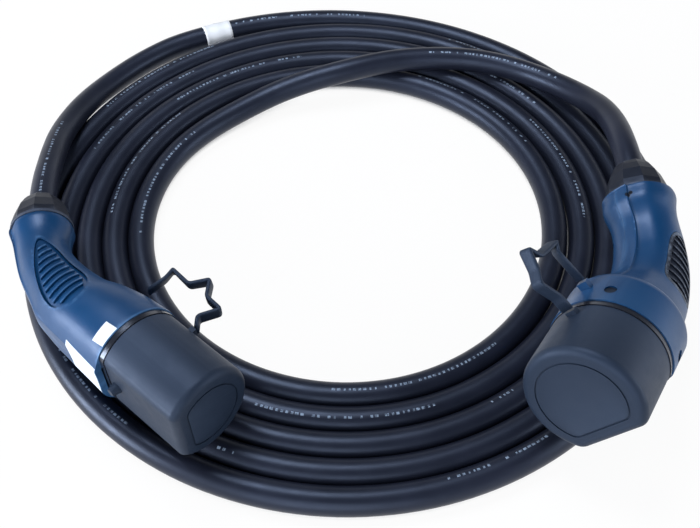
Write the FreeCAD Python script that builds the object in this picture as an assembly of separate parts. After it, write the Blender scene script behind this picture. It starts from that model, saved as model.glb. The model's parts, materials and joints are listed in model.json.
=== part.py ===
"""Charging cable for electric vehicles: a coil of heavy flexible cable that lies on the floor,
with a vehicle connector on one end and a supply plug on the other, each under its dust cap.

Millimetres. The origin is on the floor in the middle of the whole cable, +Z is up, +Y is the far side
of the coil, and the two connectors lie on the near half of the coil, the vehicle connector at -X.
Each connector is built in a frame of its own and then laid on the coil: there +X runs out of the nose
from the rim of the dust cap, and +Z goes to the flat of the D."""
import FreeCAD
import Part
import math
import os
from FreeCAD import Placement, Rotation, Vector

# Cable
CABLE_D = 13.5
CABLE_R = CABLE_D / 2
COIL_CENTRE = (-1.2, 0.5)
# Reach of the cable's centreline from the coil's centre at the left, back, right and front of each
# turn. The first number is where the cable comes in from outside the coil.
TURN_REACHES = (
    (196.0, 168.0, 167.5, 168.5),
    (164.0, 154.4, 153.8, 155.2),
    (150.4, 140.9, 140.0, 141.8),
    (136.9, 127.4, 126.2, 128.6),
    (123.4, 114.2, 112.0, 115.6),
    (109.8, 100.0, 100.0, 100.0),
)
COIL_START_DEG = 116.0
COIL_END_DEG = 136.0
OUTLINE_ARCS = 12

# Free stretches of the cable, from the nut of each gland to the coil
VEHICLE_ROUTE = (
    (-161.4, 30.5, 25.0), (-161.3, 52.2, 19.8), (-156.0, 79.0, 14.2), (-145.3, 104.8, 8.6),
    (-127.5, 128.5, 6.95), (-103.5, 147.6, 7.2), (-78.5, 159.0, 7.2),
)
SUPPLY_ROUTE = (
    (143.8, 44.5, 38.2), (133.4, 74.0, 26.8), (110.0, 99.0, 21.0), (83.4, 111.6, 20.5),
    (54.7, 115.1, 20.6), (25.2, 112.0, 20.7), (-1.8, 103.6, 20.0), (-27.9, 98.4, 15.2),
    (-53.0, 89.2, 9.8), (-76.4, 73.2, 6.75),
)
JACKET_IN_GLAND = 30.0
ROUTE_PAST_NUT = 6.0

# Contacts: where each lies on the face, and its radius
POWER_R = 3.0
SIGNAL_R = 1.5
POWER_PITCH = 12.4
SIGNAL_Y = 6.0
SIGNAL_Z = 9.2
BLANK_Y = 6.9
BLANK_Z = -11.0
CONTACTS = {
    "l1": (POWER_PITCH, 0.0, POWER_R),
    "pe": (0.0, 0.0, POWER_R),
    "n": (-POWER_PITCH, 0.0, POWER_R),
    "cp": (SIGNAL_Y, SIGNAL_Z, SIGNAL_R),
    "pp": (-SIGNAL_Y, SIGNAL_Z, SIGNAL_R),
}
SLEEVE_WALL = 1.1
CARRIER_T = 6.0
CRIMP_LENGTH = 12.0
CRIMP_WALL = 1.0
CRIMP_DEPTH = 8.0
SHOULDER = 0.5
PIN_RECESS = 9.0
SHROUD_WALL = 3.6
SHROUD_FLOOR = 2.0

# Conductors and the coding resistor
POWER_CORE_R = 1.9
SIGNAL_CORE_R = 0.8
# Where each conductor enters the cable's jacket, across and up from its axis
CORE_ENDS = {"l1": (3.0, 0.9), "pe": (0.0, -3.4), "n": (-3.0, 0.9), "cp": (1.3, 4.2), "pp": (-1.3, 4.2)}
CORE_SAG = 0.05
RESISTOR_R = 1.3
RESISTOR_LENGTH = 6.0
RESISTOR_WIRE_R = 0.35

# Housings
WALL = 3.2
FIT = 0.3
INNER_GAP = 0.15
SEAL_T = 2.8
SECTION_POINTS = 8
SECTION_SPACING = 5.5
CORNER_SHARE = 0.24
FLAT_SOFTNESS = 0.12
VEHICLE_NOSE_R = 20.0
SUPPLY_NOSE_R = 24.4

# root_step: how much smaller the nose is behind its seal ring, inside the handle.
# seal_at: where the cap's rim meets the seal ring, along X.
# front: distance behind the rim, how much narrower and shallower than the mouth, how far the section
# lies above the centreline, and the height of its flat, if it has one. rear: distance, and how much
# wider than the gland's nut.
# leaf: outline of the ribbed grip in the plane of the bend.
VEHICLE = {
    "name": "vehicle",
    "male": False,
    "rim": (-92.5, -113.1, 37.8),
    "turned": (-42.4, -2.3, 90.0),
    "bend_at": 73.0,
    "bend_deg": 35.0,
    "bend_r": 62.0,
    "nose_r": VEHICLE_NOSE_R,
    "nose_cut": 5.2,
    "nose_length": 42.3,
    "nose_root": 20.0,
    "root_step": 2.2,
    "seal_at": 0.0,
    "mouth_r": VEHICLE_NOSE_R + FIT + WALL,
    "front": (
        (SEAL_T, 0.0, 0.0, 0.0, 21.0), (14.0, 0.3, 0.8, 0.0, 20.6), (29.0, 1.6, 2.9, 0.9, 20.2),
        (40.0, 3.6, 5.0, 2.3, 19.7), (50.0, 5.3, 6.2, 2.0, None), (61.0, 7.0, 8.4, 0.3, None),
        (72.0, 8.6, 9.7, 0.0, None), (83.0, 9.9, 10.6, 0.0, None),
    ),
    "rear": ((92.0, -1.9), (97.0, -0.4), (100.0, -0.6)),
    "nut_r": 15.4,
    "nut_length": 20.0,
    "cap_wall": 2.2,
    "leaf": (
        (-80.0, -8.4), (-72.6, -9.6), (-56.0, -7.8), (-41.0, -6.4), (-33.2, 0.0), (-33.2, 8.6),
        (-38.0, 13.4), (-48.2, 13.3), (-60.4, 8.6), (-73.0, 0.8),
    ),
    "rib_from": -37.5,
    "rib_count": 10,
    "screws": ((54.0, -10.8), (72.0, -9.4)),
    "tether_y": 6.0,
    "tether": (
        (-21.6, -24.2), (-22.5, -31.0), (-22.8, -40.6), (-10.0, -38.8), (-4.2, -46.9),
        (2.6, -39.2), (12.5, -38.2), (8.0, -28.4), (11.6, -24.2),
    ),
}
SUPPLY = {
    "name": "supply",
    "male": True,
    "rim": (116.6, -113.2, 46.4),
    "turned": (-121.3, -11.7, -123.6),
    "bend_at": 57.5,
    "bend_deg": 40.0,
    "bend_r": 60.0,
    "nose_r": SUPPLY_NOSE_R,
    "nose_cut": 6.2,
    "nose_length": 37.2,
    "nose_root": 16.0,
    "root_step": 0.0,
    "seal_at": 8.0,
    "mouth_r": 22.6,
    "front": (
        (16.0 + FIT, 0.0, 0.2, 0.2, 22.0), (27.0, 1.6, 1.6, 1.6, 21.8), (38.0, 3.2, 3.0, 3.0, 21.9),
        (50.0, 4.2, 4.0, 2.5, None), (60.0, 4.9, 4.8, 2.1, None), (70.0, 5.7, 5.7, 1.6, None),
        (82.0, 6.4, 6.5, 1.1, None),
    ),
    "rear": ((90.0, 1.5), (95.0, 2.4), (98.5, 1.9)),
    "nut_r": 15.6,
    "nut_length": 19.0,
    "cap_wall": 2.2,
    "leaf": (
        (-74.6, -5.6), (-70.6, -10.2), (-60.0, -9.6), (-48.0, -6.6), (-38.6, -3.4), (-36.8, 3.0),
        (-37.0, 10.0), (-39.6, 15.0), (-47.0, 13.8), (-56.0, 10.2), (-66.0, 3.8),
    ),
    "rib_from": -41.0,
    "rib_count": 8,
    "screws": ((46.0, -9.2), (73.0, -9.4)),
    "tether_y": -5.0,
    "tether": (
        (13.2, -29.4), (13.9, -41.1), (18.0, -46.2), (11.5, -51.1), (8.7, -59.4), (4.2, -52.9),
        (-10.7, -50.7), (-6.8, -45.8), (-5.6, -32.0),
    ),
}

# Collar of the supply plug and its screws
COLLAR_R = SUPPLY_NOSE_R + FIT + WALL
COLLAR_SHOULDER = 6.0
COLLAR_SCREW_X = -3.0
COLLAR_SCREW_DEG = (-125.0, 140.0)
LUG_T = 3.0
LUG_W = 5.0

# Ribbed grips
GRIP_DEPTH = 1.2
INLAY_T = 1.8
INLAY_GAP = 0.25
RIB_PITCH = 4.2
RIB_W = 0.9
RIB_MARGIN = 2.0
RIB_ROOT = 0.4
LEAF_STEPS = 28

# Screws
SCREW_R = 1.4
SCREW_HEAD_R = 2.6
SCREW_HEAD_T = 1.8
SCREW_SUNK = 0.6
BOSS_R = 3.2

# Gland
SPIGOT_R = 10.6
SPIGOT_LENGTH = 6.5
NUT_FACETS = 10
NUT_RIM = 1.6
# Along the nut as a share of its length, and its size as a share of its radius
NUT_PROFILE = ((0.02, 1.0), (0.28, 0.97), (0.62, 0.85), (0.86, 0.69), (1.0, 0.57))
GLAND_SEAL_LENGTH = 3.0
NUT_HOLE_CLEARANCE = 0.9
CLAMP_LENGTH = 6.0
CLAMP_SLOT = 1.6

# Dust caps and their tethers
CAP_END_GAP = 0.8
CAP_EDGE_R = 3.6
CAP_FACE_T = 2.6
GROOVE_INSET = 6.4
GROOVE_WIDTH = 0.8
GROOVE_DEPTH = 0.5
KNOB_R = 3.2
KNOB_TIP_R = 1.8
KNOB_H = 5.0
KNOB_X = 5.0
TETHER_W = 6.0
TETHER_T = 2.0

# Marker sleeve on the cable near the vehicle end
SLEEVE_LENGTH = 13.0
SLEEVE_T = 0.35
SLEEVE_FROM_END = 1.5

FAR = 400.0


def d_wire(x, r, cut):
    """A circle with a flat on its +Z side and rounded corners, in the plane at x."""
    flat = r - cut
    corner = r * CORNER_SHARE
    yc = math.sqrt((r - corner) ** 2 - (flat - corner) ** 2)
    zc = flat - corner
    k = r / (r - corner)
    half = 0.5 * (math.atan2(zc, yc) + math.pi / 2)
    cy = yc + corner * math.cos(half)
    cz = zc + corner * math.sin(half)
    right, left = Vector(x, yc * k, zc * k), Vector(x, -yc * k, zc * k)
    top_right, top_left = Vector(x, yc, flat), Vector(x, -yc, flat)
    edges = [
        Part.Arc(right, Vector(x, 0, -r), left).toShape(),
        Part.Arc(left, Vector(x, -cy, cz), top_left).toShape(),
        Part.LineSegment(top_left, top_right).toShape(),
        Part.Arc(top_right, Vector(x, cy, cz), right).toShape(),
    ]
    return Part.Wire(edges)


def d_bar(x0, x1, r, cut):
    """A D-shaped bar from x0 to x1."""
    return Part.Face(d_wire(x0, r, cut)).extrude(Vector(x1 - x0, 0, 0))


def rod(x0, x1, r, y=0.0, z=0.0):
    """A round bar along X."""
    return Part.makeCylinder(r, x1 - x0, Vector(x0, y, z), Vector(1, 0, 0))


def slab(x0, x1, y0, y1, z0, z1):
    return Part.makeBox(x1 - x0, y1 - y0, z1 - z0, Vector(x0, y0, z0))


def edges_at(shape, x):
    """The edges of a shape that lie in the plane at x."""
    found = []
    for edge in shape.Edges:
        if abs(edge.BoundBox.XMin - x) < 1e-4 and abs(edge.BoundBox.XMax - x) < 1e-4:
            found.append(edge)
    return found


def handle_point(spec, s):
    """The point s behind the cap's rim on a housing's centreline, and how far the line has bent."""
    turn = math.radians(spec["bend_deg"])
    r = spec["bend_r"]
    start = spec["bend_at"] - r * math.tan(turn / 2)
    bent = min(max((s - start) / r, 0.0), turn)
    straight = min(s, start)
    rest = max(s - start - r * turn, 0.0)
    x = -straight - r * math.sin(bent) - rest * math.cos(bent)
    z = -r * (1 - math.cos(bent)) - rest * math.sin(bent)
    return Vector(x, 0, z), bent


def across_handle(spec, s, y, up):
    """A point in the cross-section s behind the rim."""
    centre, bent = handle_point(spec, s)
    return centre + Vector(-math.sin(bent) * up, y, math.cos(bent) * up)


def along_handle(spec, shape, s):
    """Moves a shape made about +X so that its +X runs back along the handle from s."""
    centre, bent = handle_point(spec, s)
    moved = shape.copy()
    moved.rotate(Vector(0, 0, 0), Vector(0, 0, 1), 180)
    moved.rotate(Vector(0, 0, 0), Vector(0, 1, 0), -math.degrees(bent))
    moved.translate(centre)
    return moved


def sections(spec):
    """Distance behind the rim, half width, half depth, lift and height of the flat of each section."""
    rows = []
    for s, narrower, shallower, lift, flat in spec["front"]:
        half_depth = spec["mouth_r"] - shallower
        rows.append((s, spec["mouth_r"] - narrower, half_depth, lift, flat or lift + half_depth))
    for s, wider in spec["rear"]:
        r = spec["nut_r"] + wider
        rows.append((s, r, r, 0.0, r))
    return rows


def slope(rows, k, i):
    """Slope of column i at row k, none at a turning point, so that the curve never swings past it."""
    steps = []
    for n in (k - 1, k):
        if 0 <= n < len(rows) - 1:
            steps.append((rows[n + 1][i] - rows[n][i]) / (rows[n + 1][0] - rows[n][0]))
    if steps[0] * steps[-1] <= 0:
        return 0.0
    return 2 * steps[0] * steps[-1] / (steps[0] + steps[-1])


def section_at(spec, s):
    """Half width, half depth, lift and flat at s, on smooth curves through the given sections."""
    rows = sections(spec)
    s = min(max(s, rows[0][0]), rows[-1][0])
    k = 0
    while s > rows[k + 1][0]:
        k += 1
    span = rows[k + 1][0] - rows[k][0]
    t = (s - rows[k][0]) / span
    values = []
    for i in (1, 2, 3, 4):
        value = rows[k][i] * (2 * t ** 3 - 3 * t ** 2 + 1) + rows[k + 1][i] * (3 * t ** 2 - 2 * t ** 3)
        value += span * slope(rows, k, i) * (t ** 3 - 2 * t ** 2 + t)
        value += span * slope(rows, k + 1, i) * (t ** 3 - t ** 2)
        values.append(value)
    return values


def room_at(spec, s):
    """Half width and half depth of what fits in the handle round its centreline at s."""
    half_width, half_depth, lift, _ = section_at(spec, s)
    return half_width - WALL - FIT, half_depth - abs(lift) - WALL - FIT


def section_wire(spec, s, inset):
    """A handle's cross-section, a smooth closed curve in two halves, with a soft flat on top."""
    half_width, half_depth, lift, flat = section_at(spec, s)
    halves = []
    for side in (1, -1):
        points = []
        for i in range(SECTION_POINTS + 1):
            t = side * math.pi * (i / SECTION_POINTS - 0.5)
            y = side * (half_width - inset) * math.cos(t)
            up = lift + (half_depth - inset) * math.sin(t)
            if up > flat - inset:
                up = flat - inset + FLAT_SOFTNESS * (up - flat + inset)
            points.append(across_handle(spec, s, y, up))
        curve = Part.BSplineCurve()
        outward = Vector(0, side, 0)
        steps = [float(i) for i in range(SECTION_POINTS + 1)]
        curve.interpolate(points, Parameters=steps, InitialTangent=outward, FinalTangent=outward * -1)
        halves.append(curve.toShape())
    return Part.Wire(halves)


def handle_form(spec, inset=0.0):
    """A handle's smooth outer form, or the form of its inside when it is pulled in by a wall.

    The loft's sections are evenly spaced, because a loft through uneven ones waves."""
    rows = sections(spec)
    start = rows[0][0] - (FIT if inset > 0 else 0.0)
    end = rows[-1][0] - inset
    count = round((end - start) / SECTION_SPACING)
    wires = [section_wire(spec, start + (end - start) * i / count, inset) for i in range(count + 1)]
    return Part.makeLoft(wires, True, False)


def leaf_prism(spec, side, margin=0.0):
    """The grip's outline, from the plane of the bend out through one side of the handle."""
    points = [Vector(x, 0, z) for x, z in spec["leaf"]]
    curve = Part.BSplineCurve()
    curve.interpolate(points, PeriodicFlag=True)
    if margin > 0:
        inner = []
        for i in range(LEAF_STEPS):
            u = curve.FirstParameter + (curve.LastParameter - curve.FirstParameter) * i / LEAF_STEPS
            inner.append(curve.value(u) + curve.tangent(u)[0].cross(Vector(0, 1, 0)) * margin)
        curve = Part.BSplineCurve()
        curve.interpolate(inner, PeriodicFlag=True)
    return Part.Face(Part.Wire(curve.toShape())).extrude(Vector(0, side * FAR, 0))


def rib_slabs(spec):
    ribs = []
    for i in range(spec["rib_count"]):
        x = spec["rib_from"] - i * RIB_PITCH
        ribs.append(slab(x - RIB_W / 2, x + RIB_W / 2, -FAR, FAR, -FAR, FAR))
    return Part.makeCompound(ribs)


def screw_bosses(spec):
    """Posts inside the handle that its screws run through, from wall to wall."""
    posts = []
    for s, up in spec["screws"]:
        at = across_handle(spec, s, -FAR, up)
        posts.append(Part.makeCylinder(BOSS_R, 2 * FAR, at, Vector(0, 1, 0)))
    return Part.makeCompound(posts)


def side_of(spec):
    """The side from which the screws go in: the one that lies towards the floor."""
    return 1.0 if spec["male"] else -1.0


def housing_screw(spec, s, up, clearance=0.0):
    """One self-tapping screw through both halves, its head sunk in the lower side."""
    side = side_of(spec)
    half_width, half_depth, lift, _ = section_at(spec, s)
    edge = (abs(up - lift) + SCREW_HEAD_R) / half_depth
    depth = half_width * math.sqrt(1 - edge * edge) - SCREW_SUNK
    head = across_handle(spec, s, side * (depth - SCREW_HEAD_T), up)
    inward = Vector(0, -side, 0)
    shank = Part.makeCylinder(SCREW_R + clearance, 2 * depth - 3 * SCREW_HEAD_T, head, inward)
    top = Part.makeCylinder(SCREW_HEAD_R + clearance, SCREW_HEAD_T + clearance, head, inward * -1)
    if clearance > 0:
        return shank.fuse(Part.makeCylinder(SCREW_HEAD_R + clearance, FAR, head, inward * -1))
    return shank.fuse(top).removeSplitter()


def half_space(side):
    """Everything on one side of the plane of the bend."""
    return slab(-FAR, FAR, min(0, side * FAR), max(0, side * FAR), -FAR, FAR)


def housing_half(spec, side, outer, shell, floor):
    """One half of the handle, a hollow shell with screw posts and half of the gland's spigot.

    The supply plug has a ribbed inlay let into its grip. The vehicle connector has moulded ribs."""
    pocket = leaf_prism(spec, side).cut(floor)
    inlay = None
    if spec["male"]:
        valleys = leaf_prism(spec, side, RIB_MARGIN).cut(rib_slabs(spec))
        valleys = valleys.cut(handle_form(spec, INLAY_T / 2))
        seat = leaf_prism(spec, side, INLAY_GAP).cut(handle_form(spec, INLAY_T - INLAY_GAP))
        inlay = outer.common(seat).cut(valleys)
    half = shell.common(half_space(side)).cut(pocket)
    if not spec["male"]:
        ribbed = leaf_prism(spec, side, RIB_MARGIN).common(rib_slabs(spec))
        half = half.fuse(ribbed.common(outer).cut(handle_form(spec, GRIP_DEPTH + RIB_ROOT)))
    end = sections(spec)[-1][0]
    spigot = along_handle(spec, rod(-WALL / 2, SPIGOT_LENGTH, SPIGOT_R), end)
    hole = along_handle(spec, rod(-2 * WALL, SPIGOT_LENGTH + 1, CABLE_R + FIT), end)
    posts = screw_bosses(spec).common(handle_form(spec, WALL / 2)).common(half_space(side))
    half = half.fuse(posts).fuse(spigot.common(half_space(side))).cut(hole)
    for s, up in spec["screws"]:
        half = half.cut(housing_screw(spec, s, up, 0.1))
    return half, inlay


def build_housing(spec):
    pieces = {}
    outer = handle_form(spec)
    shell = outer.cut(handle_form(spec, WALL))
    floor = handle_form(spec, INLAY_T if spec["male"] else GRIP_DEPTH)
    for name, side in (("left", 1), ("right", -1)):
        half, inlay = housing_half(spec, side, outer, shell, floor)
        pieces["housing_" + name] = half
        if inlay is not None:
            pieces["grip_" + name] = inlay
    return pieces


def collar_screw(deg, clearance=0.0):
    """A screw through the collar's wall into the root of the nose."""
    a = math.radians(deg)
    out = Vector(0, math.cos(a), math.sin(a))
    seat = Vector(COLLAR_SCREW_X, 0, 0) + out * (COLLAR_R - SCREW_HEAD_T)
    shank = Part.makeCylinder(SCREW_R + clearance, WALL + 4, seat, out * -1)
    if clearance > 0:
        return shank.fuse(Part.makeCylinder(SCREW_HEAD_R + clearance, 10, seat, out))
    return shank.fuse(Part.makeCylinder(SCREW_HEAD_R, 1.0, seat, out)).removeSplitter()


def collar(spec):
    """The round collar that joins the nose to the handle, with the lug for the tether."""
    x0 = -spec["nose_root"] - FIT - WALL
    x1 = spec["seal_at"] - SEAL_T
    cut = spec["nose_cut"]
    body = d_bar(x0, x1, COLLAR_R, cut)
    body = body.makeFillet(COLLAR_SHOULDER, edges_at(body, x0))
    lug_x, lug_z = spec["tether"][-1]
    lug_y = spec["tether_y"]
    lug = slab(lug_x - LUG_T / 2, lug_x + LUG_T / 2, lug_y - LUG_W / 2, lug_y + LUG_W / 2, lug_z + 1.1, -COLLAR_R + 4)
    body = body.fuse(lug)
    body = body.cut(d_bar(x0 + WALL, x1 + 1, spec["nose_r"] + FIT, cut))
    body = body.cut(handle_form(spec, -FIT))
    for deg in COLLAR_SCREW_DEG:
        body = body.cut(collar_screw(deg, 0.1))
    return body


def seal_ring(spec):
    x1 = spec["seal_at"]
    outer = d_bar(x1 - SEAL_T, x1, spec["nose_r"] + FIT + WALL - 0.6, spec["nose_cut"])
    return outer.cut(d_bar(x1 - SEAL_T - 1, x1 + 1, spec["nose_r"] + FIT, spec["nose_cut"]))


def nose(spec):
    """The D-shaped nose: a block with a hole for each contact, or an open shroud around pins."""
    length = spec["nose_length"]
    cut = spec["nose_cut"]
    root = spec["nose_root"]
    step = spec["root_step"]
    body = d_bar(-SEAL_T, length, spec["nose_r"], cut)
    body = body.makeChamfer(1.0, edges_at(body, length))
    body = body.fuse(d_bar(-root, -SEAL_T, spec["nose_r"] - step, cut - step)).removeSplitter()
    wall = SHOULDER if spec["male"] else SLEEVE_WALL
    if spec["male"]:
        body = body.cut(d_bar(SHROUD_FLOOR, length + 1, spec["nose_r"] - SHROUD_WALL, cut))
    else:
        for y in (-BLANK_Y, BLANK_Y):
            body = body.cut(rod(length - 1.5, length + 1, POWER_R + SLEEVE_WALL, y, BLANK_Z))
    for y, z, r in CONTACTS.values():
        body = body.cut(rod(-root - 1, length + 1, r + wall + FIT, y, z))
    if spec["male"]:
        for deg in COLLAR_SCREW_DEG:
            body = body.cut(collar_screw(deg, 0.1))
    return body


def contact(spec, key):
    """A pin, or a sleeve that takes one, with the crimp barrel behind it."""
    y, z, r = CONTACTS[key]
    core = SIGNAL_CORE_R if r == SIGNAL_R else POWER_CORE_R
    tail = -spec["nose_root"] - CARRIER_T
    if spec["male"]:
        tip = spec["nose_length"] - PIN_RECESS
        body = rod(tail, tip, r, y, z)
        body = body.makeChamfer(0.35 * r, edges_at(body, tip))
        body = body.fuse(rod(tail, SHROUD_FLOOR, r + SHOULDER, y, z))
    else:
        tip = spec["nose_length"] - 1.0
        body = rod(tail, tip, r + SLEEVE_WALL, y, z).cut(rod(SHROUD_FLOOR, tip + 1, r, y, z))
    body = body.fuse(rod(tail - CRIMP_LENGTH, tail, core + CRIMP_WALL, y, z))
    return body.cut(rod(tail - CRIMP_LENGTH - 1, tail - CRIMP_LENGTH + CRIMP_DEPTH, core, y, z))


def carrier(spec):
    """The rear plate that locks the contacts into the nose."""
    x0 = -spec["nose_root"] - CARRIER_T
    half_width, half_depth = [room - INNER_GAP for room in room_at(spec, -x0)]
    oval = Part.Ellipse(Vector(x0, half_width, 0), Vector(x0, 0, half_depth), Vector(x0, 0, 0))
    plate = Part.Face(Part.Wire(oval.toShape())).extrude(Vector(CARRIER_T, 0, 0))
    wall = SHOULDER if spec["male"] else SLEEVE_WALL
    for y, z, contact_r in CONTACTS.values():
        plate = plate.cut(rod(x0 - 1, -spec["nose_root"] + 1, contact_r + wall + FIT, y, z))
    return plate


def jacket_end(spec):
    """How far behind the rim the cable's jacket ends, inside the handle."""
    return sections(spec)[-1][0] + spec["nut_length"] - JACKET_IN_GLAND


def conductors(spec, keys, r):
    """The conductors that run from the crimp barrels to the end of the cable's jacket."""
    first = spec["nose_root"] + CARRIER_T + CRIMP_LENGTH - CRIMP_DEPTH
    behind_barrel = first + CRIMP_DEPTH + 2.5
    last = jacket_end(spec) - FIT
    cores = []
    for key in keys:
        y, z, _ = CONTACTS[key]
        end_y, end_z = CORE_ENDS[key]
        points = []
        points.append(across_handle(spec, first, y, z))
        for share, spread in ((0.0, 1.0), (0.3, 0.72), (0.6, 0.2), (0.82, 0.0), (1.0, 0.0)):
            s = behind_barrel + (last - behind_barrel) * share
            across = end_y + (y - end_y) * spread
            up = end_z + (z - end_z) * spread + CORE_SAG * math.sin(math.pi * share)
            points.append(across_handle(spec, s, across, up))
        cores.append(bar_along(points, r)[0])
    return Part.makeCompound(cores)


def resistor(spec):
    """The coding resistor, wired from the proximity contact to the earth contact."""
    y, z, _ = CONTACTS["pp"]
    pe_y, pe_z, _ = CONTACTS["pe"]
    middle = Vector(0, (y + pe_y) / 2, (z + pe_z) / 2)
    x0 = -spec["nose_root"] - CARRIER_T - (CRIMP_LENGTH + RESISTOR_LENGTH) / 2
    body = rod(x0, x0 + RESISTOR_LENGTH, RESISTOR_R, middle.y, middle.z)
    across = Vector(0, y - pe_y, z - pe_z).normalize()
    reach = math.hypot(y - pe_y, z - pe_z) / 2
    wires = (
        (x0 - 1.0, x0, across, reach - SIGNAL_CORE_R - CRIMP_WALL),
        (x0 + RESISTOR_LENGTH + 1.0, x0 + RESISTOR_LENGTH, across * -1, reach - POWER_CORE_R - CRIMP_WALL),
    )
    for bend_x, body_x, way, length in wires:
        low, high = min(bend_x, body_x), max(bend_x, body_x)
        stub = rod(low - RESISTOR_WIRE_R, high + RESISTOR_WIRE_R, RESISTOR_WIRE_R, middle.y, middle.z)
        leg = Part.makeCylinder(0.8 * RESISTOR_WIRE_R, length, Vector(bend_x, middle.y, middle.z), way)
        body = body.fuse([stub, leg])
    return body.removeSplitter()


def cable_clamp(spec):
    """A split ring that grips the jacket inside the handle's neck, with its two screws."""
    s = sections(spec)[-1][0] - WALL - FIT - CLAMP_LENGTH / 2
    r = min(room_at(spec, s - CLAMP_LENGTH / 2) + room_at(spec, s + CLAMP_LENGTH / 2)) - INNER_GAP
    ring = rod(-CLAMP_LENGTH / 2, CLAMP_LENGTH / 2, r)
    ring = ring.cut(rod(-CLAMP_LENGTH, CLAMP_LENGTH, CABLE_R + INNER_GAP))
    slot = slab(-CLAMP_LENGTH, CLAMP_LENGTH, 0, FAR, -CLAMP_SLOT / 2, CLAMP_SLOT / 2)
    screw_y = (r + CABLE_R) / 2 + 0.1
    screws = []
    holes = []
    for x in (-CLAMP_LENGTH / 4, CLAMP_LENGTH / 4):
        screws.append(Part.makeCylinder(0.7, 5.6, Vector(x, screw_y, -2.8), Vector(0, 0, 1)))
        holes.append(Part.makeCylinder(0.75, FAR, Vector(x, screw_y, -FAR / 2), Vector(0, 0, 1)))
    ring = ring.cut([slot] + holes)
    return along_handle(spec, ring, s), along_handle(spec, Part.makeCompound(screws), s)


def gland_nut(spec):
    """The tapered nut with flat facets that clamps the seal on the cable."""
    length = spec["nut_length"]
    rings = []
    for x, share in NUT_PROFILE:
        corners = []
        for i in range(NUT_FACETS + 1):
            a = 2 * math.pi * i / NUT_FACETS
            r = spec["nut_r"] * share
            corners.append(Vector(x * length, r * math.cos(a), r * math.sin(a)))
        rings.append(Part.makePolygon(corners))
    nut = Part.makeLoft(rings, True, True).fuse(rod(0, NUT_RIM, spec["nut_r"]))
    nut = nut.cut(rod(-1, SPIGOT_LENGTH + GLAND_SEAL_LENGTH, SPIGOT_R + FIT))
    return nut.cut(rod(-1, length + 1, CABLE_R + NUT_HOLE_CLEARANCE))


def gland_seal():
    body = rod(0, GLAND_SEAL_LENGTH, SPIGOT_R)
    return body.cut(rod(-1, GLAND_SEAL_LENGTH + 1, CABLE_R + FIT))


def dust_cap(spec):
    """The soft cap over the nose, with a fine groove in its face and a lug for its tether."""
    cut = spec["nose_cut"]
    length = spec["nose_length"] + CAP_END_GAP + CAP_FACE_T
    face_r = spec["nose_r"] + FIT + spec["cap_wall"]
    body = d_bar(spec["seal_at"] + FIT, length, face_r, cut)
    body = body.makeFillet(CAP_EDGE_R, edges_at(body, length))
    lug_x, lug_z = spec["tether"][0 if spec["male"] else -1]
    lug_y = spec["tether_y"]
    lug = slab(lug_x - LUG_T / 2, lug_x + LUG_T / 2, lug_y - LUG_W / 2, lug_y + LUG_W / 2, lug_z + 1.1, -face_r + 4)
    body = body.fuse(lug)
    if not spec["male"]:
        flat = face_r - cut
        knob = Part.makeCone(KNOB_R, KNOB_TIP_R, KNOB_H, Vector(KNOB_X, 0, flat - 1.0), Vector(0, 0, 1))
        body = body.fuse(knob)
    groove = d_bar(length - GROOVE_DEPTH, length + 1, face_r - GROOVE_INSET, cut)
    groove = groove.cut(d_bar(length - 2, length + 2, face_r - GROOVE_INSET - GROOVE_WIDTH, cut))
    return body.cut([d_bar(-1, length - CAP_FACE_T, spec["nose_r"] + FIT, cut), groove])


def tether(spec):
    """The folded strap that ties a dust cap to its connector."""
    y0 = spec["tether_y"] - TETHER_W / 2
    path = Part.makePolygon([Vector(x, y0, z) for x, z in spec["tether"]])
    outline = path.makeOffset2D(TETHER_T / 2, 0, True, False, False)
    return outline.extrude(Vector(0, TETHER_W, 0))


def place(spec, shape):
    """Moves a shape from a connector's own frame to where the connector lies."""
    placed = shape.copy()
    frame = Placement(Vector(*spec["rim"]), Rotation(*spec["turned"]))
    placed.Placement = frame.multiply(placed.Placement)
    return placed


def bar_along(points, r):
    """A round bar along straight runs joined by tangent arcs, as large as the runs allow."""
    pts = [Vector(*p) for p in points]
    edges = []
    radii = []
    at = pts[0]
    for i in range(1, len(pts) - 1):
        before = pts[i] - pts[i - 1]
        after = pts[i + 1] - pts[i]
        turn = before.getAngle(after)
        reach = 0.45 * min(before.Length, after.Length)
        radii.append(reach / math.tan(turn / 2))
        before.normalize()
        after.normalize()
        first = pts[i] - before * reach
        last = pts[i] + after * reach
        inward = (after - before).normalize()
        middle = pts[i] + inward * (radii[-1] / math.cos(turn / 2) - radii[-1])
        edges.append(Part.LineSegment(at, first).toShape())
        edges.append(Part.Arc(first, middle, last).toShape())
        at = last
    edges.append(Part.LineSegment(at, pts[-1]).toShape())
    path = Part.Wire(edges)
    ring = Part.Wire(Part.makeCircle(r, pts[0], pts[1] - pts[0]))
    body = path.makePipeShell([ring], True, False)
    share = body.Volume / (math.pi * r * r * path.Length)
    return body, radii, share, path.Length


def lead(spec, route):
    """A free stretch of the cable, from inside the gland to the coil."""
    points = []
    for s in (jacket_end(spec), sections(spec)[-1][0] + spec["nut_length"] + ROUTE_PAST_NUT):
        points.append(place(spec, Part.Vertex(handle_point(spec, s)[0])).Point)
    body, radii, share, length = bar_along(points + [Vector(*p) for p in route], CABLE_R)
    print(spec["name"], "lead radii", [round(r) for r in radii], "share", round(share, 4), "length", round(length))
    return body


def marker_sleeve(route):
    """The thin sleeve around the cable, on its last straight run before the coil."""
    last = Vector(*route[-1])
    back = (Vector(*route[-2]) - last).normalize()
    start = last + back * SLEEVE_FROM_END
    outer = Part.makeCylinder(CABLE_R + SLEEVE_T, SLEEVE_LENGTH, start, back)
    return outer.cut(Part.makeCylinder(CABLE_R, SLEEVE_LENGTH, start, back))


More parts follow.
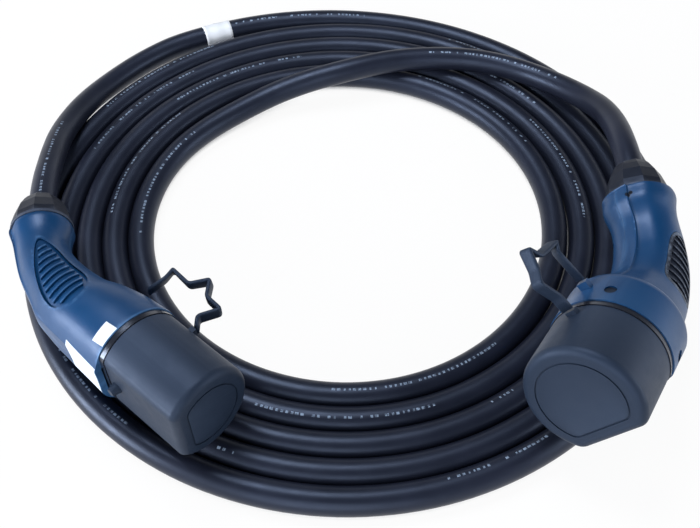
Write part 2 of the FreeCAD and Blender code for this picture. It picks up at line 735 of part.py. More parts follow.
def coil_reach(turned):
    """Reach of the cable from the coil's centre, smooth through the values of each quarter turn."""
    values = [reach for turn in TURN_REACHES for reach in turn]
    k = int(turned // 90)
    t = turned / 90 - k
    before, here, there, after = values[max(k - 1, 0)], values[k], values[k + 1], values[k + 2]
    bow = 2 * before - 5 * here + 4 * there - after
    twist = 3 * (here - there) + after - before
    return here + 0.5 * t * (there - before + t * (bow + t * twist))


def coil_point(turned, offset):
    """A point beside the cable's centreline on the floor. The cable turns clockwise from the left."""
    a = math.radians(180 - turned)
    r = coil_reach(turned) + offset
    return Vector(COIL_CENTRE[0] + r * math.cos(a), COIL_CENTRE[1] + r * math.sin(a), 0)


def outline_face(first, offset):
    """A face bounded by one turn of the cable's edge, in short arcs, and the step at its start."""
    points = []
    for i in range(2 * OUTLINE_ARCS + 1):
        points.append(coil_point(first + 180 * i / OUTLINE_ARCS, offset))
    edges = []
    for i in range(OUTLINE_ARCS):
        edges.append(Part.Arc(*points[2 * i:2 * i + 3]).toShape())
    edges.append(Part.LineSegment(points[-1], points[0]).toShape())
    return Part.Face(Part.Wire(edges))


def cable_coil():
    """The coiled turns as one ring, stepped where the cable joins it and leaves it."""
    turns = len(TURN_REACHES) - 1
    outer = outline_face(180 - COIL_START_DEG, CABLE_R)
    inner = outline_face(360 * (turns - 1) + 180 - COIL_END_DEG, -CABLE_R)
    return outer.cut(inner).extrude(Vector(0, 0, CABLE_D))


def connector(spec):
    """Every piece of one connector, by name."""
    end = sections(spec)[-1][0]
    pieces = build_housing(spec)
    pieces["nose"] = nose(spec)
    pieces["seal_ring"] = seal_ring(spec)
    pieces["contact_carrier"] = carrier(spec)
    for key in CONTACTS:
        pieces["contact_" + key] = contact(spec, key)
    pieces["power_cores"] = conductors(spec, ("l1", "n", "pe"), POWER_CORE_R)
    pieces["signal_cores"] = conductors(spec, ("cp", "pp"), SIGNAL_CORE_R)
    pieces["coding_resistor"] = resistor(spec)
    pieces["cable_clamp"], pieces["clamp_screws"] = cable_clamp(spec)
    pieces["housing_screws"] = Part.makeCompound([housing_screw(spec, s, up) for s, up in spec["screws"]])
    pieces["gland_nut"] = along_handle(spec, gland_nut(spec), end)
    pieces["gland_seal"] = along_handle(spec, gland_seal(), end + SPIGOT_LENGTH)
    pieces["dust_cap"] = dust_cap(spec)
    pieces["tether"] = tether(spec)
    if spec["male"]:
        pieces["collar"] = collar(spec)
        pieces["collar_screws"] = Part.makeCompound([collar_screw(deg) for deg in COLLAR_SCREW_DEG])
    return pieces


def main():
    parts = {
        "cable_coil": cable_coil(),
        "vehicle_lead": lead(VEHICLE, VEHICLE_ROUTE),
        "supply_lead": lead(SUPPLY, SUPPLY_ROUTE),
        "marker_sleeve": marker_sleeve(VEHICLE_ROUTE),
    }
    for spec in (VEHICLE, SUPPLY):
        for name, shape in connector(spec).items():
            parts[spec["name"] + "_" + name] = place(spec, shape)
    os.makedirs("parts", exist_ok=True)
    for name, shape in parts.items():
        shape.exportStep("parts/" + name + ".step")
        print(name, shape.isValid(), len(shape.Solids), round(shape.Volume))
    print("box", Part.makeCompound(list(parts.values())).BoundBox)


main()
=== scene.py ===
"""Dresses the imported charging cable: the coiled cable itself, the tethers, the sleeve, the blank
stickers, a material for every piece, and a plain floor, lights and camera.

Everything is in metres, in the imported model's frame. Each connector has a frame of its own, in
millimetres: +X runs out of the nose from the rim of the dust cap, and +Z goes to the flat of the D."""
import json
import math
import bpy
from mathutils import Matrix, Vector
from mathutils.bvhtree import BVHTree


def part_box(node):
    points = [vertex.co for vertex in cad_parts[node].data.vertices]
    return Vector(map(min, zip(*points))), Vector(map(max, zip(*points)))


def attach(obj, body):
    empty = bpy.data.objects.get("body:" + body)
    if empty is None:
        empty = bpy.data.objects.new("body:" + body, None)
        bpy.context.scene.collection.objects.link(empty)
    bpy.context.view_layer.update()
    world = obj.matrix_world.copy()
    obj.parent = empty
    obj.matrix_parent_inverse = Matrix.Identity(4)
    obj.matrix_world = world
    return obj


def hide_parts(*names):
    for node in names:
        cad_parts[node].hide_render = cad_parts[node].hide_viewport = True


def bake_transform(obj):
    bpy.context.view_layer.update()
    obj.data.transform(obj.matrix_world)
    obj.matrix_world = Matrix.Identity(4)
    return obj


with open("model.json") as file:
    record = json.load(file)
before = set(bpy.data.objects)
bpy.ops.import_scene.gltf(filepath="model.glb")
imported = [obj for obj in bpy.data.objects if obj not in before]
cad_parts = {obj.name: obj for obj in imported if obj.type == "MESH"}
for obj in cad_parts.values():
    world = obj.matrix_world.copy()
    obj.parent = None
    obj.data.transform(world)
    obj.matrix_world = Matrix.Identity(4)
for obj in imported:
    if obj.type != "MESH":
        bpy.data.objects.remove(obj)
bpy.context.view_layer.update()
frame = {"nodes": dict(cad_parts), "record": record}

MM = 0.001

# Camera of the photograph
CAMERA_AT = (0.0008, -0.3567, 0.4043)
CAMERA_TARGET = (0.0008, -0.0295, 0.0002)
CAMERA_LENS = 50.5
CAMERA_SENSOR = 36.0
CAMERA_NEAREST = 0.01

# Cable. Each lead has two points inside the gland, and then repeats the route of the CAD source.
CABLE_R = 0.00675
CABLE_SIDES = 32
LINE_STEPS = 10
VEHICLE_LEAD = (
    (-0.1534, -0.0325, 0.0338), (-0.1582, -0.0110, 0.0331), (-0.1614, 0.0305, 0.0250),
    (-0.1613, 0.0522, 0.0198), (-0.1560, 0.0790, 0.0142), (-0.1453, 0.1048, 0.0086),
    (-0.1275, 0.1285, 0.00695), (-0.1035, 0.1476, 0.0072),
)
SUPPLY_LEAD = (
    (0.1444, -0.0193, 0.0437), (0.1438, 0.0014, 0.0478), (0.1438, 0.0445, 0.0382),
    (0.1334, 0.0740, 0.0268), (0.1100, 0.0990, 0.0210), (0.0834, 0.1116, 0.0205),
    (0.0547, 0.1151, 0.0206), (0.0252, 0.1120, 0.0207), (-0.0018, 0.1036, 0.0200),
    (-0.0279, 0.0984, 0.0152), (-0.0530, 0.0892, 0.0098),
)

# Coil. Its reaches in millimetres are those of the CAD source: how far the cable lies from the centre at the
# left, back, right and front of each turn. It is followed from the vehicle's lead round to the supply's.
COIL_CENTRE = (-0.0012, 0.0005)
TURN_REACHES = (
    (196.0, 168.0, 167.5, 168.5),
    (164.0, 154.4, 153.8, 155.2),
    (150.4, 140.9, 140.0, 141.8),
    (136.9, 127.4, 126.2, 128.6),
    (123.4, 114.2, 112.0, 115.6),
    (109.8, 100.0, 100.0, 100.0),
)
COIL_FROM_DEG = 64.0
COIL_TO_DEG = 1844.0
COIL_STEP_DEG = 20.0

# Print on the cable: small marks that spell nothing, in blocks along it
PRINT_PITCH = 0.0024
PRINT_BLOCK = 0.235
PRINT_SHARE = 0.36
PRINT_HALF = 0.00062
PRINT_SKIPPED = 0.22
PRINT_FILLS = (0.30, 0.78)
PRINT_DRIFT = 0.055
PRINT_TURNS = 2.9

# White sleeve on the cable
SLEEVE_LENGTH = 0.018
SLEEVE_STEPS = 18
SLEEVE_WALL = 0.00030
SLEEVE_WAVE = 0.00012
SLEEVE_END = 0.97
SLEEVE_SUNK = 0.0001

# Tethers: corners of each strap in its connector's frame, as (x, z, turn in degrees), at one height y
VEHICLE_TETHER_Y = 6.0
VEHICLE_TETHER = (
    (-21.6, -24.2, 12), (-21.2, -34.1, 16), (-22.8, -40.3, 18), (-10.0, -39.0, 12), (-4.2, -47.2, 6),
    (2.1, -39.2, 4), (12.4, -38.3, 0), (7.5, -28.6, 0), (11.6, -24.2, 0),
)
SUPPLY_TETHER_Y = -5.0
SUPPLY_TETHER = (
    (14.6, -29.5, 0), (14.7, -36.3, 0), (19.2, -46.6, 0), (14.6, -51.4, 0), (10.4, -60.2, 8),
    (6.0, -54.0, 22), (-8.2, -52.0, 14), (-5.0, -47.9, 28), (-5.6, -32.0, 24),
)
TETHER_W = 6.0
TETHER_T = 2.0
TETHER_BEND = 1.8
BEND_SHARE = 0.45
BEND_STEPS = 6
STRAP_SIDES = 16
STRAP_SQUARENESS = (0.35, 0.6)

# Blank stickers: corners in the vehicle connector's frame, and the direction that each one faces
SQUARE_STICKER = ((-9.9, 24.0, 5.4), (-3.2, 24.0, 4.8), (-3.1, 24.0, 13.9), (-9.7, 24.0, 14.4))
SQUARE_STICKER_FACES = (0, 1, 0)
LONG_STICKER = ((-25.0, 10.2, 22.0), (-22.8, -5.7, 22.0), (-3.1, -7.0, 22.0), (-3.1, 9.6, 22.0))
LONG_STICKER_FACES = (0, 0, 1)
STICKER_T = 0.00018
STICKER_SUNK = 0.0001
STICKER_STEPS = 22
STICKER_CAST = 0.02

# Finish of the moulded pieces
SPECULAR_TINT = (0.58, 0.71, 1.0)
COAT_ROUGHNESS = 0.25
# Pointiness above which sharp edges get a painted highlight
EDGE_HIGHLIGHT_POINTINESS = (0.53, 0.64)
SEAM_HALF = (0.00008, 0.00022)
SEAM_DEPTH = 0.00012

# Light, background and floor. Heights are those of a direction: 0 at the horizon, 1 straight up.
LAMP_COLOUR = (0.88, 0.93, 1.0)
LAMPS = (
    ("front", (-0.20, -1.20, 0.45), (0.0, -0.05, 0.02), 1.0, 8.0),
    ("left", (-1.10, -0.40, 0.24), (0.0, 0.0, 0.02), 0.6, 17.0),
    ("right", (1.05, -0.25, 0.35), (0.0, 0.0, 0.02), 0.8, 6.0),
    ("top", (-0.28, 0.26, 1.10), (0.0, 0.0, 0.0), 0.60, 11.0),
)
SKY_COLOUR = (0.80, 0.88, 1.0)
SKY_HEIGHTS = (0.05, 0.50)
SKY_STRENGTHS = (0.50, 0.07)
BACKDROP_COLOUR = (0.95, 0.95, 0.95)
BACKDROP_FADES = (0.20, 0.30)
FLOOR_COLOUR = (0.84, 0.84, 0.85)
FLOOR_REACH = 40.0
FLOOR_DROP = 0.0002
FLOOR_WHITE = 0.94
SHADOW_REACH = 0.012
SHADOW_FADES = (0.10, 0.34)


def connector_frame(rim, turned):
    """From a connector's own frame, in millimetres, to the model's, in metres."""
    yaw, pitch, roll = [math.radians(a) for a in turned]
    turn = Matrix.Rotation(yaw, 4, "Z") @ Matrix.Rotation(pitch, 4, "Y") @ Matrix.Rotation(roll, 4, "X")
    return Matrix.Translation(Vector(rim) * MM) @ turn @ Matrix.Scale(MM, 4)


def way_of(matrix, axis):
    """A local axis of a connector as a unit vector of the model."""
    return tuple((matrix.to_3x3() @ Vector(axis)).normalized())


VEHICLE = connector_frame((-92.5, -113.1, 37.8), (-42.4, -2.3, 90.0))
SUPPLY = connector_frame((116.6, -113.2, 46.4), (-121.3, -11.7, -123.6))


# Materials

class Nodes:
    """A short way to write a tree of shader nodes."""

    def __init__(self, tree):
        self.tree = tree

    def node(self, kind, **settings):
        made = self.tree.nodes.new(kind)
        for key, value in settings.items():
            setattr(made, key, value)
        return made

    def set(self, socket, value):
        """Gives a socket a link, a number, a vector or a colour. None leaves it as it is."""
        if isinstance(value, bpy.types.NodeSocket):
            self.tree.links.new(value, socket)
        elif socket.type == "RGBA":
            socket.default_value = (*value[:3], 1.0)
        elif value is not None:
            socket.default_value = value

    def math(self, operation, a, b=None):
        made = self.node("ShaderNodeMath", operation=operation)
        self.set(made.inputs[0], a)
        self.set(made.inputs[1], b)
        return made.outputs[0]

    def coords(self):
        return self.node("ShaderNodeTexCoord").outputs["Object"]

    def noise(self, scale, detail=3.0, rough=0.5):
        made = self.node("ShaderNodeTexNoise")
        self.set(made.inputs["Vector"], self.coords())
        self.set(made.inputs["Scale"], scale)
        self.set(made.inputs["Detail"], detail)
        self.set(made.inputs["Roughness"], rough)
        return made.outputs["Fac"]

    def ramp(self, value, low, high, out_low=0.0, out_high=1.0):
        made = self.node("ShaderNodeMapRange")
        self.set(made.inputs["Value"], value)
        limits = (("From Min", low), ("From Max", high), ("To Min", out_low), ("To Max", out_high))
        for key, number in limits:
            self.set(made.inputs[key], number)
        return made.outputs["Result"]

    def mix(self, share, a, b):
        made = self.node("ShaderNodeMix", data_type="RGBA")
        self.set(made.inputs["Factor"], share)
        self.set(made.inputs[6], a)
        self.set(made.inputs[7], b)
        return made.outputs[2]

    def bump(self, height, distance, strength=1.0, before=None):
        made = self.node("ShaderNodeBump")
        self.set(made.inputs["Height"], height)
        self.set(made.inputs["Distance"], distance)
        self.set(made.inputs["Strength"], strength)
        self.set(made.inputs["Normal"], before)
        return made.outputs["Normal"]

    def from_point(self, operation, place, point):
        """A vector operation between a place and a fixed point or direction."""
        made = self.node("ShaderNodeVectorMath", operation=operation)
        self.set(made.inputs[0], place)
        self.set(made.inputs[1], point)
        return made

    def background_rays(self):
        """1 for the rays that show the background: straight from the camera, reflected or through glass."""
        path = self.node("ShaderNodeLightPath")
        share = path.outputs["Is Camera Ray"]
        for ray in ("Is Glossy Ray", "Is Transmission Ray"):
            share = self.math("MAXIMUM", share, path.outputs[ray])
        return share

    def blend(self, share, a, b):
        made = self.node("ShaderNodeMixShader")
        self.set(made.inputs[0], share)
        self.set(made.inputs[1], a.outputs[0])
        self.set(made.inputs[2], b.outputs[0])
        return made.outputs[0]


class Material(Nodes):
    """The nodes of a new material, with its shader."""

    def __init__(self, name):
        self.material = bpy.data.materials.new(name)
        self.material.use_nodes = True
        super().__init__(self.material.node_tree)
        self.shader = self.tree.nodes["Principled BSDF"]

    def finish(self, colour, roughness, normal, **fixed):
        """Sets the shader's sockets. fixed has names such as coat_weight, with one value all over."""
        self.set(self.shader.inputs["Specular Tint"], SPECULAR_TINT)
        self.set(self.shader.inputs["Base Color"], colour)
        self.set(self.shader.inputs["Roughness"], roughness)
        self.set(self.shader.inputs["Normal"], normal)
        for key, value in fixed.items():
            self.set(self.shader.inputs[key.replace("_", " ").title().replace("Ior", "IOR")], value)
        return self.material


def scaled(colour, share):
    return [min(1.0, c * share) for c in colour]


def moulded(name, colour, edge_highlight_colour, roughness, grain=0.00003, grain_scale=2600.0, coat=0.0, shine=0.5,
            print_wear_and_edge_highlight=0.55, seam=None, hole_shades=()):
    """Moulded plastic or rubber: a fine grain, slightly uneven colour and gloss, and a painted highlight
    along sharp edges.

    seam is a point and a direction: the line where two moulded halves meet runs across it.
    The last argument lists points with a radius each: at each goes a small near-black spot, painted shade
    that stands in for a small recess."""
    n = Material(name)
    cloud = n.ramp(n.noise(26.0, 4.0), 0.35, 0.68)
    # Painted highlight: sharp edges, found by their pointiness, turn part way towards a paler colour
    edges = n.ramp(n.node("ShaderNodeNewGeometry").outputs["Pointiness"], *EDGE_HIGHLIGHT_POINTINESS)
    tone = n.mix(cloud, scaled(colour, 0.93), scaled(colour, 1.08))
    # Painted highlight on sharp edges, as strong as the given share
    tone = n.mix(n.math("MULTIPLY", edges, print_wear_and_edge_highlight), tone, edge_highlight_colour)
    rough = n.ramp(n.noise(140.0, 5.0, 0.6), 0.3, 0.7, roughness - 0.05, roughness + 0.06)
    normal = n.bump(n.noise(grain_scale, 2.0, 0.6), grain)
    if seam is not None:
        point, way = seam
        away = n.from_point("SUBTRACT", n.coords(), point)
        across = n.from_point("DOT_PRODUCT", away.outputs[0], way).outputs["Value"]
        line = n.ramp(n.math("ABSOLUTE", across), *SEAM_HALF, 1.0, 0.0)
        tone = n.mix(n.math("MULTIPLY", line, 0.4), tone, scaled(colour, 0.3))
        normal = n.bump(line, -SEAM_DEPTH, 1.0, normal)
    # Painted shade: a near-black spot where a small recess is, with no recess in the shape
    for point, radius in hole_shades:
        away = n.from_point("DISTANCE", n.coords(), point).outputs["Value"]
        hole_shade = n.ramp(away, 0.75 * radius, radius, 1.0, 0.0)
        tone = n.mix(hole_shade, tone, scaled(colour, 0.03))
        rough = n.math("MAXIMUM", rough, hole_shade)
    return n.finish(tone, rough, normal, coat_weight=coat, coat_roughness=COAT_ROUGHNESS,
                    specular_ior_level=shine)


def metal(name, colour, roughness):
    n = Material(name)
    brushed = n.noise(900.0, 4.0, 0.7)
    tone = n.mix(n.ramp(n.noise(60.0), 0.3, 0.7), scaled(colour, 0.86), colour)
    rough = n.ramp(brushed, 0.3, 0.7, roughness - 0.07, roughness + 0.07)
    return n.finish(tone, rough, n.bump(brushed, 0.00001), metallic=1.0)


def print_marks(n):
    """1 on the cable's print: a broken line of small marks that drifts round the cable along its length."""
    uv = n.node("ShaderNodeUVMap", uv_map="UVMap").outputs["UV"]
    split = n.node("ShaderNodeSeparateXYZ")
    n.set(split.inputs[0], uv)
    along, around = split.outputs[0], split.outputs[1]
    cell = n.math("DIVIDE", along, PRINT_PITCH)
    chance = n.node("ShaderNodeTexWhiteNoise", noise_dimensions="1D")
    n.set(chance.inputs["W"], n.math("FLOOR", cell))
    chance = chance.outputs["Value"]
    kept = n.math("GREATER_THAN", chance, PRINT_SKIPPED)
    inside = n.math("LESS_THAN", n.math("FRACT", cell), n.ramp(chance, PRINT_SKIPPED, 1.0, *PRINT_FILLS))
    block = n.math("LESS_THAN", n.math("FRACT", n.math("DIVIDE", along, PRINT_BLOCK)), PRINT_SHARE)
    drift = n.math("MULTIPLY", n.math("SINE", n.math("MULTIPLY", along, PRINT_TURNS)), PRINT_DRIFT)
    offset = n.math("SUBTRACT", n.math("SUBTRACT", around, 0.5), drift)
    band = n.math("LESS_THAN", n.math("ABSOLUTE", offset), PRINT_HALF / (2 * math.pi * CABLE_R))
    return n.math("MULTIPLY", n.math("MULTIPLY", kept, inside), n.math("MULTIPLY", block, band))


def jacket(name):
    """The cable's rubber jacket, with its print, which has rubbed away in patches."""
    n = Material(name)
    # Patches where the print has rubbed away
    print_wear_and_edge_highlight = n.ramp(n.noise(900.0, 2.0), 0.35, 0.6, 0.15, 0.8)
    cloud = n.ramp(n.noise(34.0, 4.0), 0.35, 0.7)
    tone = n.mix(cloud, (0.0078, 0.0092, 0.0165), (0.0122, 0.0142, 0.0250))
    tone = n.mix(n.math("MULTIPLY", print_marks(n), print_wear_and_edge_highlight), tone, (0.30, 0.38, 0.50))
    rough = n.ramp(n.noise(120.0, 5.0, 0.6), 0.3, 0.7, 0.35, 0.43)
    normal = n.bump(n.noise(1500.0, 3.0, 0.6), 0.00003)
    normal = n.bump(n.noise(60.0, 2.0), 0.00020, 0.6, normal)
    return n.finish(tone, rough, normal, specular_ior_level=0.42)


# The blue of the housings, and the paler blue of the painted highlight on their sharp edges
BLUE = (0.0020, 0.036, 0.108)
BLUE_EDGE_HIGHLIGHT = (0.100, 0.24, 0.46)
RUBBER_GRAIN = {"grain": 0.00005, "grain_scale": 1800.0}
# Points and radii of painted shade that stands in for small recesses in the nut and the grip
NUT_HOLE_SHADES = (((0.1349, -0.0321, 0.0567), 0.0015), ((0.1364, -0.0309, 0.0571), 0.0012))
GRIP_HOLE_SHADES = (((0.1491, -0.0829, 0.0527), 0.0008),)
# In each moulded look the second colour is the paler one of the painted highlight on sharp edges, and the
# share given for it sets how strong that highlight is
LOOKS = {
    "vehicle_housing": moulded("vehicle_blue", BLUE, BLUE_EDGE_HIGHLIGHT, 0.40, coat=0.05, print_wear_and_edge_highlight=0.7,
                               seam=(VEHICLE.translation, way_of(VEHICLE, (0, 1, 0)))),
    "supply_housing": moulded("supply_blue", BLUE, BLUE_EDGE_HIGHLIGHT, 0.40, coat=0.05, print_wear_and_edge_highlight=0.3, hole_shades=NUT_HOLE_SHADES,
                              seam=(SUPPLY.translation, way_of(SUPPLY, (0, 1, 0)))),
    "collar": moulded("collar_blue", BLUE, BLUE_EDGE_HIGHLIGHT, 0.38, print_wear_and_edge_highlight=0.12),
    "cap": moulded("cap_rubber", (0.0125, 0.0200, 0.0360), (0.036, 0.052, 0.085), 0.52, shine=0.35,
                   **RUBBER_GRAIN),
    "gland": moulded("gland_plastic", (0.0070, 0.0085, 0.0145), (0.10, 0.12, 0.17), 0.44, shine=0.3),
    "seal": moulded("seal_rubber", (0.004, 0.0045, 0.007), (0.02, 0.022, 0.03), 0.22, coat=0.4),
    "grip": moulded("grip_rubber", (0.0080, 0.0100, 0.0165), (0.26, 0.32, 0.42), 0.50, print_wear_and_edge_highlight=0.85,
                    hole_shades=GRIP_HOLE_SHADES, **RUBBER_GRAIN),
    "nose": moulded("nose_plastic", (0.018, 0.018, 0.020), (0.05, 0.05, 0.055), 0.48),
    "core": moulded("core_insulation", (0.24, 0.10, 0.04), (0.35, 0.17, 0.08), 0.45),
    "clamp": moulded("clamp_plastic", (0.42, 0.42, 0.42), (0.55, 0.55, 0.55), 0.5),
    "contact": metal("contact_silver", (0.86, 0.84, 0.80), 0.28),
    "sunk_screw": metal("sunk_screw", (0.05, 0.06, 0.08), 0.5),
    "screw": metal("screw_steel", (0.60, 0.60, 0.62), 0.36),
    "cable_jacket": jacket("cable_jacket"),
    "marker": moulded("marker_sleeve_white", (0.74, 0.75, 0.77), (0.80, 0.81, 0.83), 0.5),
    "sticker": moulded("blank_sticker", (0.66, 0.72, 0.76), (0.8, 0.84, 0.88), 0.45, grain=0.00001),
}


def dress(piece, look):
    piece.data.materials.clear()
    piece.data.materials.append(LOOKS[look])


def dress_frame():
    """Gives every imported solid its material."""
    slots = {row["node"]: row["material_slot"] for row in frame["record"]["subparts"]}
    for name, piece in frame["nodes"].items():
        look = slots[name]
        if look == "housing":
            look = "collar" if name.endswith("collar") else name.split("_")[0] + "_housing"
        if name.endswith("collar_screws"):
            look = "sunk_screw"
        dress(piece, look)


# Shapes

def new_object(name, vertices, faces):
    mesh = bpy.data.meshes.new(name)
    mesh.from_pydata([tuple(v) for v in vertices], [], faces)
    made = bpy.data.objects.new(name, mesh)
    bpy.context.scene.collection.objects.link(made)
    return made


def new_piece(name, vertices, faces, look, smooth=True):
    piece = new_object(name, vertices, faces)
    if smooth:
        piece.data.polygons.foreach_set("use_smooth", [True] * len(faces))
    piece.data.update()
    dress(piece, look)
    return piece


def skin(rings, sides):
    """Faces round a row of rings that have the same number of points, with an end cap at either end."""
    faces = []
    for i in range(rings - 1):
        for j in range(sides):
            k = (j + 1) % sides
            faces.append((i * sides + j, i * sides + k, (i + 1) * sides + k, (i + 1) * sides + j))
    last = (rings - 1) * sides
    faces.append(tuple(range(sides - 1, -1, -1)))
    faces.append(tuple(range(last, last + sides)))
    return faces


def tangent_at(line, i):
    ahead = line[min(i + 1, len(line) - 1)]
    behind = line[max(i - 1, 0)]
    return ahead - behind


# Cable

def coil_reach(turned):
    """Reach of the cable from the coil's centre: a Catmull-Rom curve through the value of each quarter."""
    values = [reach * MM for turn in TURN_REACHES for reach in turn]
    k = int(turned // 90)
    t = turned / 90 - k
    before, here, there, after = values[max(k - 1, 0)], values[k], values[k + 1], values[k + 2]
    bow = 2 * before - 5 * here + 4 * there - after
    twist = 3 * (here - there) + after - before
    return here + 0.5 * t * (there - before + t * (bow + t * twist))


def cable_points():
    """Control points of the whole cable: one lead, the turns of the coil, and the other lead.

    A curve of this order cuts the corners of its control points, so those of the coil stand out."""
    stand_out = 1 / (0.75 + 0.25 * math.cos(math.radians(COIL_STEP_DEG)))
    turns = []
    for i in range(round((COIL_TO_DEG - COIL_FROM_DEG) / COIL_STEP_DEG)):
        turned = COIL_FROM_DEG + COIL_STEP_DEG * (i + 0.5)
        a = math.radians(180 - turned)
        r = coil_reach(turned) * stand_out
        turns.append((COIL_CENTRE[0] + r * math.cos(a), COIL_CENTRE[1] + r * math.sin(a), CABLE_R))
    return list(VEHICLE_LEAD) + turns + list(reversed(SUPPLY_LEAD))


def smooth_line(points):
    """Points along the NURBS curve that has these control points."""
    curve = bpy.data.curves.new("cable_line", "CURVE")
    curve.dimensions = "3D"
    curve.resolution_u = LINE_STEPS
    spline = curve.splines.new("NURBS")
    spline.points.add(len(points) - 1)
    for control, point in zip(spline.points, points):
        control.co = (*point, 1.0)
    spline.order_u = 3
    spline.use_endpoint_u = True
    carrier = bpy.data.objects.new("cable_line", curve)
    mesh = bpy.data.meshes.new_from_object(carrier)
    line = [v.co.copy() for v in mesh.vertices]
    bpy.data.meshes.remove(mesh)
    bpy.data.objects.remove(carrier)
    bpy.data.curves.remove(curve)
    return line


def tube(name, line, radii, look):
    """A tube along a line, with lengths in metres along U and turns round it along V, up in the middle."""
    sides = CABLE_SIDES
    vertices = []
    lengths = []
    run = 0.0
    for i, point in enumerate(line):
        tangent = tangent_at(line, i).normalized()
        side = tangent.cross(Vector((0, 0, 1))).normalized()
        up = side.cross(tangent)
        if i > 0:
            run += (point - line[i - 1]).length
        lengths.append(run)
        for j in range(sides):
            a = 2 * math.pi * (j / sides - 0.5)
            vertices.append(point + (up * math.cos(a) + side * math.sin(a)) * radii[i])
    piece = new_piece(name, vertices, skin(len(line), sides), look)
    layer = piece.data.uv_layers.new(name="UVMap")
    for face in piece.data.polygons[:-2]:
        i, j = divmod(face.index, sides)
        corners = ((i, j), (i, j + 1), (i + 1, j + 1), (i + 1, j))
        for loop, (ring, spoke) in zip(face.loop_indices, corners):
            layer.data[loop].uv = (lengths[ring], spoke / sides)
    return piece


def make_cable():
    line = smooth_line(cable_points())
    cable = tube("cable", line, [CABLE_R] * len(line), "cable_jacket")
    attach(cable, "cable")
    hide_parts("cable_coil", "vehicle_lead", "supply_lead")
    sleeve = make_sleeve(line)


def make_sleeve(line):
    """The white sleeve round the cable, where the CAD sleeve is. It follows the cable's bend there."""
    low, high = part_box("marker_sleeve")
    middle = (Vector(low) + Vector(high)) / 2
    nearest = min(range(len(line)), key=lambda i: (line[i] - middle).length)
    behind, here, ahead = line[nearest - 1:nearest + 2]
    tangent = (ahead - behind).normalized()
    bend = ahead - 2 * here + behind
    step = (ahead - behind).length / 2
    rings = []
    radii = []
    for i in range(SLEEVE_STEPS + 1):
        t = SLEEVE_LENGTH * (i / SLEEVE_STEPS - 0.5)
        rings.append(here + tangent * t + bend * (0.5 * (t / step) ** 2))
        from_middle = abs(2 * i / SLEEVE_STEPS - 1)
        wall = SLEEVE_WALL + SLEEVE_WAVE * math.cos(6.0 * from_middle)
        radii.append(CABLE_R + (wall if from_middle < SLEEVE_END else -SLEEVE_SUNK))
    sleeve = tube("white_sleeve", rings, radii, "marker")
    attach(sleeve, "cable")
    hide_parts("marker_sleeve")
    return sleeve


# Tethers

def rounded_corners(corners, reach):
    """A polyline with its inner corners rounded. Each corner is a place in the plane and a turn."""
    corners = [Vector(corner) for corner in corners]
    points = [corners[0]]
    for before, corner, after in zip(corners, corners[1:], corners[2:]):
        near = min(reach, BEND_SHARE * (corner - before).length, BEND_SHARE * (after - corner).length)
        first = corner.lerp(before, near / (before - corner).length)
        last = corner.lerp(after, near / (after - corner).length)
        for i in range(BEND_STEPS + 1):
            t = i / BEND_STEPS
            points.append(first * (1 - t) ** 2 + corner * 2 * t * (1 - t) + last * t * t)
    points.append(corners[-1])
    return points


def strap_section():
    """A strap's section, as (across, out): a superellipse, which has soft edges."""
    wide, thick = STRAP_SQUARENESS
    outline = []
    for k in range(STRAP_SIDES):
        a = 2 * math.pi * k / STRAP_SIDES
        c, s = math.cos(a), math.sin(a)
        across = math.copysign(abs(c) ** wide, c) * TETHER_W / 2
        out = math.copysign(abs(s) ** thick, s) * TETHER_T / 2
        outline.append((across, out))
    return outline


def make_tether(side, matrix, corners, height):
    """A folded strap through these corners."""
    line = rounded_corners(corners, TETHER_BEND)
    section = strap_section()
    vertices = []
    for i, point in enumerate(line):
        tangent = tangent_at(line, i).xy.normalized()
        c, s = math.cos(math.radians(point.z)), math.sin(math.radians(point.z))
        for across, out in section:
            flat = point.xy + Vector((-tangent.y, tangent.x)) * (out * c + across * s)
            vertices.append(matrix @ Vector((flat.x, height + across * c - out * s, flat.y)))
    strap = new_piece(side + "_strap", vertices, skin(len(line), len(section)), "cap")
    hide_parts(side + "_tether")
    return strap


def make_tethers():
    """Each strap runs from the connector to its dust cap."""
    strap = make_tether("vehicle", VEHICLE, VEHICLE_TETHER, VEHICLE_TETHER_Y)
    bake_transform(strap)
    strap = make_tether("supply", SUPPLY, SUPPLY_TETHER, SUPPLY_TETHER_Y)
    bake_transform(strap)


# Stickers

def trees_of(names):
    trees = []
    for name in names:
        mesh = frame["nodes"][name].data
        places = [v.co for v in mesh.vertices]
        trees.append(BVHTree.FromPolygons(places, [face.vertices for face in mesh.polygons]))
    return trees


def make_sticker(name, nodes, matrix, corners, faces_way):
    """A blank sticker that follows the surface of these nodes, cast onto it from the side that it faces."""
    trees = trees_of(nodes)
    out = Vector(way_of(matrix, faces_way))
    a, b, c, d = [Vector(corner) for corner in corners]
    top, base = [], []
    for i in range(STICKER_STEPS + 1):
        for j in range(STICKER_STEPS + 1):
            u, v = i / STICKER_STEPS, j / STICKER_STEPS
            local = (a * (1 - u) + b * u) * (1 - v) + (d * (1 - u) + c * u) * v
            start = matrix @ local + out * STICKER_CAST
            hits = [tree.ray_cast(start, -out, 3 * STICKER_CAST) for tree in trees]
            nearest = min([hit for hit in hits if hit[0] is not None], key=lambda hit: hit[3])
            top.append(nearest[0] + out * STICKER_T)
            base.append(nearest[0] - out * STICKER_SUNK)
    piece = new_piece(name, top + base, sticker_faces(STICKER_STEPS), "sticker", smooth=False)
    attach(piece, "cable")


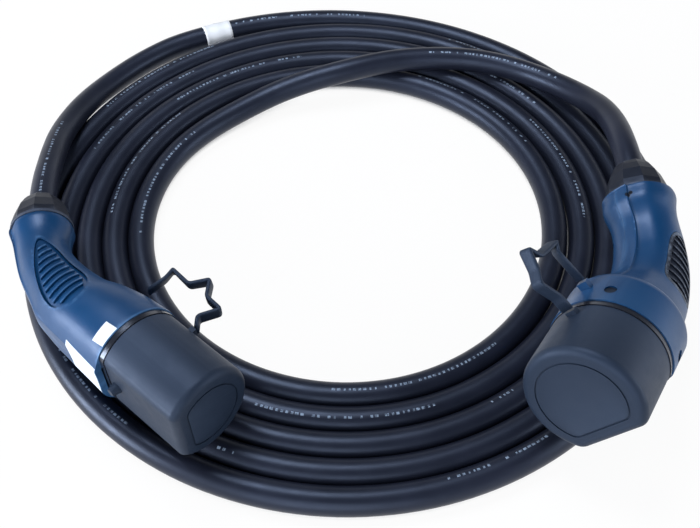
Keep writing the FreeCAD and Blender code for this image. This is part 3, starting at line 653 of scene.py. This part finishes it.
def sticker_faces(steps):
    """Faces of a thin sheet of steps by steps squares: its top, its base and its rim."""
    width = steps + 1
    count = width * width
    faces = []
    for i in range(steps):
        for j in range(steps):
            k = i * width + j
            faces.append((k, k + width, k + width + 1, k + 1))
            faces.append((count + k, count + k + 1, count + k + width + 1, count + k + width))
    rim = [i * width for i in range(steps)] + [steps * width + j for j in range(steps)]
    rim += [i * width + steps for i in range(steps, 0, -1)] + [j for j in range(steps, 0, -1)]
    for i, k in enumerate(rim):
        m = rim[(i + 1) % len(rim)]
        faces.append((k, count + k, count + m, m))
    return faces


def make_stickers():
    halves = ["vehicle_housing_left", "vehicle_housing_right"]
    make_sticker("square_sticker", halves, VEHICLE, SQUARE_STICKER, SQUARE_STICKER_FACES)
    make_sticker("long_sticker", halves, VEHICLE, LONG_STICKER, LONG_STICKER_FACES)


# Stage

def make_floor():
    """A pale floor that background rays see as white, apart from the soft shadow close to the object."""
    n = Material("floor")
    n.tree.nodes.remove(n.shader)
    diffuse = n.node("ShaderNodeBsdfDiffuse")
    n.set(diffuse.inputs["Color"], FLOOR_COLOUR)
    white = n.node("ShaderNodeEmission")
    n.set(white.inputs["Color"], (1.0, 1.0, 1.0))
    open_sky = n.node("ShaderNodeAmbientOcclusion", samples=8)
    n.set(open_sky.inputs["Distance"], SHADOW_REACH)
    bare = n.ramp(open_sky.outputs["AO"], *SHADOW_FADES)
    share = n.math("MULTIPLY", n.math("MULTIPLY", n.background_rays(), bare), FLOOR_WHITE)
    n.set(n.tree.nodes["Material Output"].inputs["Surface"], n.blend(share, diffuse, white))
    r = FLOOR_REACH
    floor = new_object("floor", [(-r, -r, 0), (r, -r, 0), (r, r, 0), (-r, r, 0)], [(0, 1, 2, 3)])
    floor.location.z = -FLOOR_DROP
    floor.data.materials.append(n.material)


def aim(thing, place, target):
    """Puts a new object for a lamp or camera at a place, looking at a target."""
    holder = bpy.data.objects.new(thing.name, thing)
    holder.location = place
    holder.rotation_euler = (Vector(target) - Vector(place)).to_track_quat("-Z", "Y").to_euler()
    bpy.context.scene.collection.objects.link(holder)
    return holder


def make_lights():
    for name, place, target, size, power in LAMPS:
        lamp = bpy.data.lights.new(name, "AREA")
        lamp.shape = "DISK"
        lamp.size = size
        lamp.energy = power
        lamp.color = LAMP_COLOUR
        aim(lamp, place, target)


def make_world():
    """A soft studio sky, brightest low down, and pale like the floor for background rays near the horizon."""
    world = bpy.data.worlds.new("studio")
    bpy.context.scene.world = world
    world.use_nodes = True
    n = Nodes(world.node_tree)
    n.tree.nodes.clear()
    split = n.node("ShaderNodeSeparateXYZ")
    n.set(split.inputs[0], n.node("ShaderNodeTexCoord").outputs["Generated"])
    height = split.outputs["Z"]
    sky = n.node("ShaderNodeBackground")
    n.set(sky.inputs["Color"], SKY_COLOUR)
    n.set(sky.inputs["Strength"], n.ramp(height, *SKY_HEIGHTS, *SKY_STRENGTHS))
    backdrop = n.node("ShaderNodeBackground")
    n.set(backdrop.inputs["Color"], BACKDROP_COLOUR)
    share = n.math("MULTIPLY", n.background_rays(), n.ramp(height, *BACKDROP_FADES, 1.0, 0.0))
    n.set(n.node("ShaderNodeOutputWorld").inputs["Surface"], n.blend(share, sky, backdrop))


def make_camera():
    camera = bpy.data.cameras.new("camera")
    camera.lens = CAMERA_LENS
    camera.sensor_width = CAMERA_SENSOR
    camera.clip_start = CAMERA_NEAREST
    bpy.context.scene.camera = aim(camera, CAMERA_AT, CAMERA_TARGET)


bpy.context.scene.view_settings.view_transform = "Standard"
make_camera()
make_world()
make_floor()
make_lights()
dress_frame()
make_cable()
make_tethers()
make_stickers()
